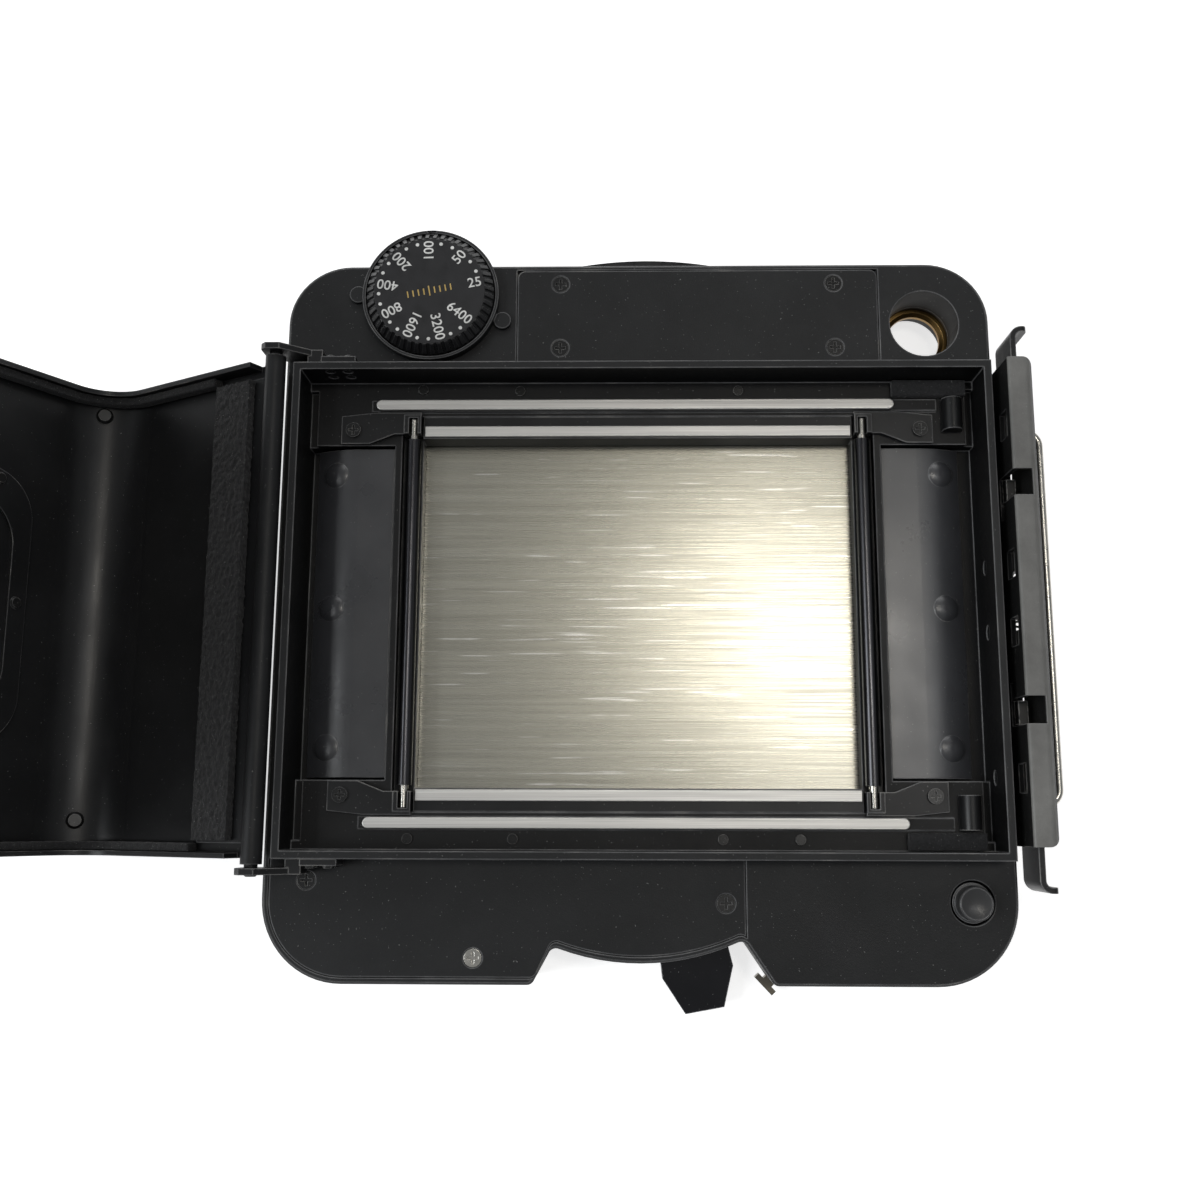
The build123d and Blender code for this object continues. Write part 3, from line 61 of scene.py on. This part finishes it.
# ------------------------------------------------------------------ node helpers
class Look:
    """A material under construction, with short calls for the nodes it is made of."""

    def __init__(self, name, **sockets):
        self.material = bpy.data.materials.new(name)
        self.material.use_nodes = True
        self.tree = self.material.node_tree
        self.shader = self.tree.nodes["Principled BSDF"]
        for key, value in sockets.items():
            self.shader.inputs[key.replace("_", " ")].default_value = value

    def node(self, kind, **settings):
        made = self.tree.nodes.new(kind)
        for key, value in settings.items():
            setattr(made, key, value)
        return made

    def link(self, source, target):
        self.tree.links.new(source, target)

    def place(self, scale=(1, 1, 1), turn=0.0):
        """Object coordinates, stretched and turned about Z."""
        where = self.node("ShaderNodeTexCoord")
        mapping = self.node("ShaderNodeMapping")
        mapping.inputs["Scale"].default_value = scale
        mapping.inputs["Rotation"].default_value = (0, 0, turn)
        self.link(where.outputs["Object"], mapping.inputs["Vector"])
        return mapping.outputs["Vector"]

    def noise(self, size, detail=3.0, rough=0.55, stretch=(1, 1, 1), turn=0.0, offset=0.0):
        """Noise whose features are about this size in metres."""
        made = self.node("ShaderNodeTexNoise", noise_dimensions="4D")
        made.inputs["W"].default_value = offset
        made.inputs["Scale"].default_value = 1.0 / size
        made.inputs["Detail"].default_value = detail
        made.inputs["Roughness"].default_value = rough
        self.link(self.place(stretch, turn), made.inputs["Vector"])
        return made.outputs["Fac"]

    def ramp(self, value, low, high, out=(0.0, 1.0)):
        made = self.node("ShaderNodeMapRange")
        made.inputs["From Min"].default_value = low
        made.inputs["From Max"].default_value = high
        made.inputs["To Min"].default_value = out[0]
        made.inputs["To Max"].default_value = out[1]
        self.link(value, made.inputs["Value"])
        return made.outputs["Result"]

    def math(self, operation, a, b):
        made = self.node("ShaderNodeMath", operation=operation, use_clamp=True)
        for socket, value in zip(made.inputs, (a, b)):
            if isinstance(value, (int, float)):
                socket.default_value = value
            else:
                self.link(value, socket)
        return made.outputs["Value"]

    def mix(self, factor, first, second):
        """A colour between two colours, each a tuple or a socket."""
        made = self.node("ShaderNodeMix", data_type="RGBA")
        self.link(factor, made.inputs["Factor"])
        for socket, value in ((made.inputs[6], first), (made.inputs[7], second)):
            if isinstance(value, tuple):
                socket.default_value = (*value, 1)
            else:
                self.link(value, socket)
        return made.outputs[2]

    def edges(self, radius):
        """Rounded normals, and a mask that is 1 on the edges."""
        bevel = self.node("ShaderNodeBevel", samples=6)
        bevel.inputs["Radius"].default_value = radius
        plain = self.node("ShaderNodeNewGeometry")
        dot = self.node("ShaderNodeVectorMath", operation="DOT_PRODUCT")
        self.link(bevel.outputs["Normal"], dot.inputs[0])
        self.link(plain.outputs["Normal"], dot.inputs[1])
        return bevel.outputs["Normal"], self.ramp(dot.outputs["Value"], 0.995, 0.92)

    def within(self, low, high):
        """A mask that is 1 inside a box given in millimetres."""
        parts = self.node("ShaderNodeSeparateXYZ")
        self.link(self.place(), parts.inputs[0])
        mask = None
        for axis in range(3):
            for operation, limit in (("GREATER_THAN", low[axis]), ("LESS_THAN", high[axis])):
                side = self.math(operation, parts.outputs[axis], limit * MM)
                mask = side if mask is None else self.math("MULTIPLY", mask, side)
        return mask

    def column(self, x, y, radius):
        """A mask that is 1 inside an upright cylinder given in millimetres."""
        gap = self.node("ShaderNodeVectorMath", operation="DISTANCE")
        self.link(self.place((1, 1, 0)), gap.inputs[0])
        gap.inputs[1].default_value = (x * MM, y * MM, 0)
        return self.math("LESS_THAN", gap.outputs["Value"], radius * MM)

    def bump(self, height, distance, strength=1.0, normal=None):
        made = self.node("ShaderNodeBump")
        made.inputs["Strength"].default_value = strength
        made.inputs["Distance"].default_value = distance
        self.link(height, made.inputs["Height"])
        if normal is not None:
            self.link(normal, made.inputs["Normal"])
        return made.outputs["Normal"]

    def finish(self, color, roughness=None, normal=None):
        wires = {"Base Color": color, "Roughness": roughness, "Normal": normal}
        for name, source in wires.items():
            if source is not None:
                self.link(source, self.shader.inputs[name])
        return self.material


# ------------------------------------------------------------------ materials
PAINT_LINT = (0.42, 0.42, 0.41)
# Grey for the edges of paint: a painted highlight, and partly lightly rubbed paint.
PAINT_EDGE_HIGHLIGHT_AND_RUB = (0.34, 0.34, 0.345)
PILE_LINT = (0.55, 0.55, 0.53)
FRESH_METAL = (0.85, 0.84, 0.8)


def scaled(color, factor, lift=0.0):
    """A colour made lighter or darker, and lifted where asked."""
    return tuple(c * factor + lift for c in color)


def paint(name, color, bare, rough, grain, grain_depth, wear, edge=0.25 * MM, edge_highlight_and_rub=0.4, spec=0.5, painted_light_and_shade_zones=()):
    """A dull coat, such as baked paint: grain, dust and handling marks, worn on the edges, with painted
    highlights and light rubbing along them.

    Each zone is (kind, limits, color): a part drawn in its own colour; the zones here are painted shade and
    painted light.
    """
    look = Look(name, Metallic=0.0, Specular_IOR_Level=spec)
    normal, rim = look.edges(edge)
    patches = look.noise(6 * MM, detail=5)
    specks = look.noise(0.35 * MM, detail=2)
    worn = look.math("MULTIPLY", rim, look.ramp(patches, 0.60 - wear, 0.72 - wear))
    worn = look.math("MULTIPLY", worn, look.ramp(specks, 0.38, 0.56))
    dust = look.ramp(look.noise(14 * MM, detail=8, rough=0.7, offset=3.0), 0.4, 0.75)
    haze = look.ramp(look.noise(9 * MM, detail=6, offset=7.0), 0.3, 0.7, (rough - 0.05, rough + 0.07))
    shade = look.mix(dust, scaled(color, 0.82), scaled(color, 1.25, 0.002))
    # Painted shade and painted light: each zone's colour takes the place of the paint's.
    for kind, limits, own in painted_light_and_shade_zones:
        mask = getattr(look, kind)(*limits)
        shade = look.mix(mask, shade, look.mix(dust, scaled(own, 0.7), scaled(own, 1.3)))
    lint = look.noise(0.28 * MM, detail=1, offset=9.0)
    shade = look.mix(look.ramp(lint, 0.735, 0.765, (0.0, 0.4)), shade, PAINT_LINT)
    # Painted highlight, with some light rubbing in it: the colour grows lighter along every edge, in
    # patches.
    lift = look.math("MULTIPLY", rim, look.ramp(patches, 0.3, 0.7, (0.35 * edge_highlight_and_rub, edge_highlight_and_rub)))
    shade = look.mix(lift, shade, PAINT_EDGE_HIGHLIGHT_AND_RUB)
    tone = look.mix(worn, shade, bare)
    grains = look.noise(grain, detail=2, offset=1.0)
    return look.finish(tone, haze, look.bump(grains, grain_depth, 1.0, normal))


def brushed(name, light, dark, rough, along, scratches=0.0, edge=0.12 * MM):
    """Metal with fine lines along one axis, tonal bands and, where asked, stray scratches."""
    look = Look(name, Metallic=1.0)
    normal, rim = look.edges(edge)
    fine = [1.0, 1.0, 1.0]
    fine[along] = 0.006
    broad = [1.0, 1.0, 1.0]
    broad[along] = 0.012
    lines = look.noise(0.12 * MM, detail=4, stretch=tuple(fine))
    bands = look.noise(0.7 * MM, detail=3, rough=0.6, stretch=tuple(broad), offset=5.0)
    cloud = look.noise(30 * MM, detail=3, offset=2.0)
    tone = look.mix(look.ramp(bands, 0.3, 0.7), dark, light)
    tone = look.mix(look.ramp(cloud, 0.35, 0.65, (0.0, 0.35)), tone, dark)
    tone = look.mix(look.ramp(lines, 0.35, 0.75, (0.0, 0.4)), tone, scaled(dark, 0.45))
    gloss = look.ramp(lines, 0.3, 0.7, (rough - 0.06, rough + 0.08))
    marks = look.math("MULTIPLY", rim, 0.6)
    if scratches:
        for turn, offset in ((0.5, 11.0), (1.25, 12.0), (2.2, 13.0), (2.8, 14.0)):
            stray = look.noise(0.5 * MM, detail=1, stretch=(0.02, 1.0, 1.0), turn=turn, offset=offset)
            where = look.noise(11 * MM, detail=2, offset=offset + 20)
            stray = look.math("MULTIPLY", look.ramp(stray, 0.66, 0.70), look.ramp(where, 0.5, 0.58))
            marks = look.math("MAXIMUM", marks, look.math("MULTIPLY", stray, scratches))
    tone = look.mix(marks, tone, FRESH_METAL)
    return look.finish(tone, gloss, look.bump(lines, 0.004 * MM, 0.6, normal))


def bright(name, color, rough, grain=0.4 * MM, edge=0.12 * MM):
    """Plated or polished metal with faint pitting and smears."""
    look = Look(name, Metallic=1.0)
    normal, rim = look.edges(edge)
    smear = look.noise(3 * MM, detail=6, offset=4.0)
    tone = look.mix(look.ramp(smear, 0.35, 0.7), scaled(color, 0.8), color)
    # Painted highlight: the colour is made lighter along every edge.
    tone = look.mix(look.math("MULTIPLY", rim, 0.5), tone, tuple(min(1.0, c * 1.25) for c in color))
    gloss = look.ramp(smear, 0.3, 0.7, (rough, rough + 0.12))
    pits = look.noise(grain, detail=3, offset=8.0)
    return look.finish(tone, gloss, look.bump(pits, 0.006 * MM, 0.7, normal))


def plastic(name, color, rough, grain=0.3 * MM):
    """Moulded plastic, resin or ink with a fine skin."""
    look = Look(name)
    normal, rim = look.edges(0.15 * MM)
    mottle = look.noise(2 * MM, detail=5, offset=2.0)
    tone = look.mix(look.ramp(mottle, 0.3, 0.7), scaled(color, 0.8), scaled(color, 1.2))
    # Painted highlight: the colour is made lighter along every edge.
    tone = look.mix(look.math("MULTIPLY", rim, 0.25), tone, scaled(color, 1.0, 0.12))
    gloss = look.ramp(mottle, 0.3, 0.7, (rough - 0.05, rough + 0.08))
    skin = look.noise(grain, detail=2, offset=6.0)
    return look.finish(tone, gloss, look.bump(skin, 0.012 * MM, 0.8, normal))


def fibre(name, color, pile, depth):
    """Felt or open foam: matt, with a sheen and a pile at its own scale."""
    look = Look(name, Roughness=0.95, Sheen_Weight=0.12, Sheen_Roughness=0.6)
    tufts = look.noise(pile, detail=6, rough=0.75)
    # Painted shade and painted light: the pile is darker where its bump is low and lighter where it is
    # high.
    tone = look.mix(look.ramp(tufts, 0.35, 0.68), scaled(color, 0.25), scaled(color, 2.2))
    lint = look.noise(0.16 * MM, detail=1, offset=9.0)
    tone = look.mix(look.ramp(lint, 0.70, 0.76, (0.0, 0.8)), tone, PILE_LINT)
    return look.finish(tone, None, look.bump(tufts, depth, 1.0))


BARE = (0.32, 0.31, 0.29)
# Zones: kind, limits in millimetres, and the colour there: painted shade in hollows and notches, painted
# light on the latch tops.
# Painted shade: the inside of the film chamber is drawn darker than the rest of the shell.
CHAMBER_SHADE = ("within", ((-53.5, -37.5, -1), (54.5, 37.5, 17.7)), (0.006, 0.006, 0.0065))
# Painted shade: the wall of the hole round the bush is drawn near black.
BUSH_HOLE_SHADE = ("column", (46.6, 46.8, 5.6), (0.003, 0.003, 0.003))
# Painted light: the latch parts are drawn lighter above 20.6 mm, where light falls on their tops.
LATCH_TOP_LIGHT = ("within", ((50, -60, 20.6), (70, 60, 30)), (0.17, 0.168, 0.16))
# Painted shade: the latch slides' noses are drawn near black where they sit in the notches.
UPPER_NOSE_SHADE = ("within", ((50, 12.9, 0), (70, 23.0, 30)), (0.006, 0.006, 0.006))
LOWER_NOSE_SHADE = ("within", ((50, -21.6, 0), (70, -11.5, 30)), (0.006, 0.006, 0.006))
INK_BLACK = (0.010, 0.0102, 0.011)
LOOKS = {
    "shell_black": paint("shell_paint", (0.0125, 0.013, 0.014), BARE, 0.44, 0.22 * MM, 0.022 * MM, 0.05,
                         0.35 * MM, edge_highlight_and_rub=0.8, spec=0.3, painted_light_and_shade_zones=(CHAMBER_SHADE, BUSH_HOLE_SHADE)),
    "door_black": paint("door_paint", INK_BLACK, BARE, 0.32, 0.3 * MM, 0.006 * MM, 0.06, spec=0.4),
    "matt_black": paint("inner_paint", INK_BLACK, BARE, 0.34, 0.2 * MM, 0.012 * MM, 0.12,
                        0.3 * MM, edge_highlight_and_rub=0.9, spec=0.35),
    "guide_paint": paint("guide_paint", (0.034, 0.035, 0.039), BARE, 0.30, 0.2 * MM, 0.006 * MM, 0.08,
                         0.2 * MM, edge_highlight_and_rub=0.6, spec=1.0),
    "latch_paint": paint("latch_paint", (0.006, 0.006, 0.006), BARE, 0.46, 0.35 * MM, 0.03 * MM, 0.1,
                         edge_highlight_and_rub=0.5, painted_light_and_shade_zones=(LATCH_TOP_LIGHT,)),
    "latch_metal": paint("latch_metal", (0.6, 0.59, 0.56), FRESH_METAL, 0.4, 0.3 * MM, 0.006 * MM, 0.2,
                         painted_light_and_shade_zones=(UPPER_NOSE_SHADE, LOWER_NOSE_SHADE)),
    "gloss_black": paint("lever_paint", (0.004, 0.004, 0.006), (0.5, 0.5, 0.52), 0.14, 0.5 * MM, 0.006 * MM,
                         0.22, edge_highlight_and_rub=0.5),
    "screw_black": paint("screw_finish", (0.009, 0.009, 0.009), BARE, 0.26, 0.2 * MM, 0.004 * MM, 0.2,
                         0.1 * MM, edge_highlight_and_rub=0.9),
    "bright_steel": bright("plated_steel", (0.66, 0.64, 0.59), 0.2),
    "lug_metal": bright("lug_metal", (0.27, 0.245, 0.2), 0.28),
    "rail_steel": brushed("rail_steel", (0.90, 0.89, 0.86), (0.60, 0.59, 0.57), 0.42, 0),
    "slide_steel": brushed("slide_steel", (0.60, 0.585, 0.51), (0.46, 0.445, 0.38), 0.27, 0, scratches=0.9),
    "roller_metal": brushed("roller_metal", (0.10, 0.10, 0.105), (0.05, 0.05, 0.055), 0.24, 1),
    "button_metal": paint("button_paint", (0.04, 0.04, 0.041), BARE, 0.3, 0.2 * MM, 0.006 * MM, 0.1,
                          0.3 * MM, edge_highlight_and_rub=0.9),
    "brass": bright("brass", (0.34, 0.21, 0.075), 0.26),
    "black_plastic": plastic("dial_plastic", (0.010, 0.010, 0.011), 0.28),
    "dial_black": plastic("dial_face_plastic", (0.009, 0.009, 0.011), 0.44, 0.15 * MM),
    "board_green": plastic("board_resin", (0.05, 0.16, 0.08), 0.3),
    "felt": fibre("felt", (0.010, 0.010, 0.011), 0.35 * MM, 0.15 * MM),
    "foam": fibre("foam", (0.009, 0.009, 0.010), 0.6 * MM, 0.3 * MM),
    "print_white": plastic("print_white", (0.8, 0.8, 0.78), 0.5, 0.1 * MM),
    "print_gold": plastic("print_gold", (0.62, 0.43, 0.13), 0.45, 0.1 * MM),
}
# Nodes that wear another look than the one of their slot.
OWN_LOOK = {
    "latch_channel": "latch_paint", "door_shell": "door_black", "door_liner": "door_black",
    "upper_latch_slide": "latch_metal", "lower_latch_slide": "latch_metal",
    "left_guide_plate": "guide_paint", "right_guide_plate": "guide_paint", "index_lug": "lug_metal",
}


def dress(piece, look):
    """Give a piece one material on all its faces."""
    piece.data.materials.clear()
    piece.data.materials.append(LOOKS[look])


for entry in frame["record"]["subparts"]:
    dress(NODES[entry["node"]], OWN_LOOK.get(entry["node"], entry["material_slot"]))


# ------------------------------------------------------------------ light seals
def seal(node, name, look, body, voxel, pile, depth, seed):
    """A foam or felt seal in its CAD solid's place, with an open, uneven surface."""
    raw = bpy.data.objects.new(name, NODES[node].data.copy())
    scene.collection.objects.link(raw)
    remesh = raw.modifiers.new("cells", "REMESH")
    remesh.mode = "VOXEL"
    remesh.voxel_size = voxel
    bpy.context.view_layer.update()
    mesh = bpy.data.meshes.new_from_object(raw.evaluated_get(bpy.context.evaluated_depsgraph_get()))
    raw.modifiers.clear()
    raw.data = mesh
    start = Vector((seed, 2 * seed, 3 * seed))
    for vertex, normal in zip(mesh.vertices, [v.normal.copy() for v in mesh.vertices]):
        coarse = noise.noise(vertex.co / pile + start)
        fine = noise.noise(vertex.co / (0.4 * pile) - start)
        vertex.co -= normal * depth * (0.55 + 0.6 * coarse + 0.3 * fine)
    for face in mesh.polygons:
        face.use_smooth = True
    dress(raw, look)
    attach(raw, body)
    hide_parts(node)


SEALS = (      # node, name, look, slot, body, then voxel, pile and depth in mm, seed, fill
    ("hinge_foam", "hinge_foam_strip", "foam", "foam", "door", 0.22, 0.75, 0.3, 1, 0.9),
    ("latch_foam", "latch_foam_strip", "foam", "foam", "door", 0.22, 0.75, 0.3, 2, 0.9),
    ("door_felts", "door_felt_seals", "felt", "felt", "door", 0.25, 0.6, 0.12, 3, 0.8),
    ("floor_felts", "floor_felt_pads", "felt", "felt", "back", 0.2, 0.6, 0.12, 4, 0.8),
    ("light_trap_felt", "slide_felt", "felt", "felt", "back", 0.3, 0.6, 0.12, 5, 0.8),
)
for node, name, look, slot, body, voxel, pile, depth, seed, fill in SEALS:
    seal(node, name, look, body, voxel * MM, pile * MM, depth * MM, seed)


# ------------------------------------------------------------------ dial print
dial_low, dial_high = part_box("dial_face")
DIAL_CENTRE = (dial_low + dial_high) / 2
DIAL_TOP = dial_high.z
LABELS = ((25, 10.5), (50, 50.5), (100, 91.5), (200, 132), (400, 171), (800, 208.5), (1600, 245),
          (3200, 283.5), (6400, 322))    # film speed and its angle in degrees
LABEL_OUTER = 8.6 * MM
LABEL_HEIGHT = 1.65 * MM
FONT_SIZE = 1.38 * LABEL_HEIGHT    # a figure is shorter than its font size
STROKE_GROWTH = 0.03 * MM
DOT_RING = 8.2 * MM
DOT_RADIUS = 0.3 * MM
DOT_SIDES = 20
TICKS_EACH_SIDE = 4
TICK_STEP = 0.88 * MM
TICK_HALF_WIDTH = 0.11 * MM
TICK_HALF = 0.55 * MM
CENTRE_TICK_HALF = 0.85 * MM
TICK_TILT = math.radians(11)
INK = 0.02 * MM


def on_dial(radius, degrees, lift=INK):
    turn = math.radians(degrees)
    x = DIAL_CENTRE.x + radius * math.cos(turn)
    y = DIAL_CENTRE.y + radius * math.sin(turn)
    return Vector((x, y, DIAL_TOP + lift))


def number(text, degrees):
    """One film-speed number, reading outwards and ending at the label ring."""
    curve = bpy.data.curves.new("dial_number_" + text, "FONT")
    curve.body = text
    curve.size = FONT_SIZE
    curve.align_x = "RIGHT"
    curve.align_y = "CENTER"
    curve.offset = STROKE_GROWTH
    curve.extrude = INK / 2
    curve.space_character = 1.02
    maker = bpy.data.objects.new("maker", curve)
    scene.collection.objects.link(maker)
    bpy.context.view_layer.update()
    mesh = bpy.data.meshes.new_from_object(maker.evaluated_get(bpy.context.evaluated_depsgraph_get()))
    bpy.data.objects.remove(maker)
    turn = Matrix.Rotation(math.radians(degrees), 4, "Z")
    mesh.transform(Matrix.Translation(on_dial(LABEL_OUTER, degrees)) @ turn)
    return mesh


def join(name, meshes, look, body):
    """One piece from several meshes."""
    vertices, faces = [], []
    for mesh in meshes:
        start = len(vertices)
        vertices += [v.co.copy() for v in mesh.vertices]
        faces += [[start + i for i in p.vertices] for p in mesh.polygons]
    whole = bpy.data.meshes.new(name)
    whole.from_pydata(vertices, [], faces)
    piece = bpy.data.objects.new(name, whole)
    scene.collection.objects.link(piece)
    dress(piece, look)
    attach(piece, body)


def outline(points, low, high):
    """A closed prism over a flat outline."""
    count = len(points)
    vertices = [(x, y, low) for x, y in points] + [(x, y, high) for x, y in points]
    faces = [list(range(count))[::-1], list(range(count, 2 * count))]
    faces += [[i, (i + 1) % count, count + (i + 1) % count, count + i] for i in range(count)]
    mesh = bpy.data.meshes.new("outline")
    mesh.from_pydata(vertices, [], faces)
    return mesh


def dot(centre):
    ring = [(centre.x + DOT_RADIUS * math.cos(a), centre.y + DOT_RADIUS * math.sin(a))
            for a in (math.tau * k / DOT_SIDES for k in range(DOT_SIDES))]
    return outline(ring, centre.z - INK, centre.z)


numbers = [number(str(value), angle) for value, angle in LABELS]
join("dial_numbers", numbers, "print_white", "dial")
dots = []
for (_, here), (_, after) in zip(LABELS[:-1], LABELS[1:]):
    for share in (1 / 3, 2 / 3):
        dots.append(dot(on_dial(DOT_RING, here + share * (after - here))))
join("dial_dots", dots, "print_white", "dial")

ticks = []
for step in range(-TICKS_EACH_SIDE, TICKS_EACH_SIDE + 1):
    along = step * TICK_STEP
    half = TICK_HALF if step else CENTRE_TICK_HALF
    corners = []
    for dx, dy in ((-1, -1), (1, -1), (1, 1), (-1, 1)):
        x = along + dx * TICK_HALF_WIDTH
        y = dy * half
        corners.append((DIAL_CENTRE.x + x * math.cos(TICK_TILT) - y * math.sin(TICK_TILT),
                        DIAL_CENTRE.y + x * math.sin(TICK_TILT) + y * math.cos(TICK_TILT)))
    ticks.append(outline(corners, DIAL_TOP, DIAL_TOP + INK))
join("dial_ticks", ticks, "print_gold", "dial")


# ------------------------------------------------------------------ floor, light, camera
FLOOR_HALF = 3.0
FLOOR_GLOW = 0.78
PAPER_DARK = (0.88, 0.88, 0.88)
PAPER_LIGHT = (0.92, 0.92, 0.92)
SKY = (0.96, 0.98, 1.0)
SKY_STRENGTH = 0.24


def floor():
    """White paper that glows a little, so that it stays pale."""
    mesh = bpy.data.meshes.new("floor")
    corners = [(x * FLOOR_HALF, y * FLOOR_HALF, 0) for x, y in ((-1, -1), (1, -1), (1, 1), (-1, 1))]
    mesh.from_pydata(corners, [], [(0, 1, 2, 3)])
    piece = bpy.data.objects.new("floor", mesh)
    scene.collection.objects.link(piece)
    look = Look("floor_paper", Roughness=0.9, Emission_Strength=FLOOR_GLOW)
    fibres = look.noise(2 * MM, detail=6)
    tone = look.mix(fibres, PAPER_DARK, PAPER_LIGHT)
    look.link(tone, look.shader.inputs["Emission Color"])
    piece.data.materials.append(look.finish(tone))


def area_light(name, place, aim, size, power, color):
    data = bpy.data.lights.new(name, "AREA")
    data.shape = "RECTANGLE"
    data.size, data.size_y = size
    data.energy = power
    data.color = color
    lamp = bpy.data.objects.new(name, data)
    scene.collection.objects.link(lamp)
    lamp.location = place
    lamp.rotation_euler = (Vector(aim) - Vector(place)).to_track_quat("-Z", "Y").to_euler()


def world(color, strength):
    made = bpy.data.worlds.new("studio")
    made.use_nodes = True
    background = made.node_tree.nodes["Background"]
    background.inputs["Color"].default_value = (*color, 1)
    background.inputs["Strength"].default_value = strength
    scene.world = made


WHITE = (1, 1, 1)
COOL = (0.95, 0.98, 1.0)
WARM = (1.0, 0.95, 0.86)
LAMPS = (                      # name, place, aim, size, power in watts, colour
    ("overhead_window", (0.165, 0.15, 1.05), (0.024, -0.003, 0.006), (0.2, 0.11), 0.85, WARM),
    ("soft_left", (-1.1, -0.1, 1.0), (0, 0, 0), (0.7, 0.9), 11, COOL),
    ("soft_back", (0.2, 1.2, 0.9), (0, 0, 0), (1.2, 0.6), 4.5, WHITE),
    ("soft_right", (0.46, 0.1, 1.2), (0, 0, 0), (0.2, 0.5), 0.7, WHITE),
)

CAMERA_PLACE = Vector((-2.434, -32.652, 205.586)) * MM
CAMERA_AIM = Vector((-0.017614, 0.172556, -0.984842)).normalized()
PICTURE = 1200
FOCAL_PIXELS = 1250
SENSOR_WIDTH = 36.0    # mm


def camera():
    data = bpy.data.cameras.new("camera")
    data.sensor_width = SENSOR_WIDTH
    data.lens = SENSOR_WIDTH * FOCAL_PIXELS / PICTURE
    data.clip_start = 0.01
    made = bpy.data.objects.new("camera", data)
    scene.collection.objects.link(made)
    right = (Vector((1, 0, 0)) - CAMERA_AIM * CAMERA_AIM.x).normalized()
    up = right.cross(CAMERA_AIM)
    turn = Matrix((right, up, -CAMERA_AIM)).transposed().to_4x4()
    made.matrix_world = Matrix.Translation(CAMERA_PLACE) @ turn
    scene.camera = made


floor()
world(SKY, SKY_STRENGTH)
for name, place, aim, size, power, color in LAMPS:
    area_light(name, place, aim, size, power, color)
camera()
scene.view_settings.view_transform = "Standard"
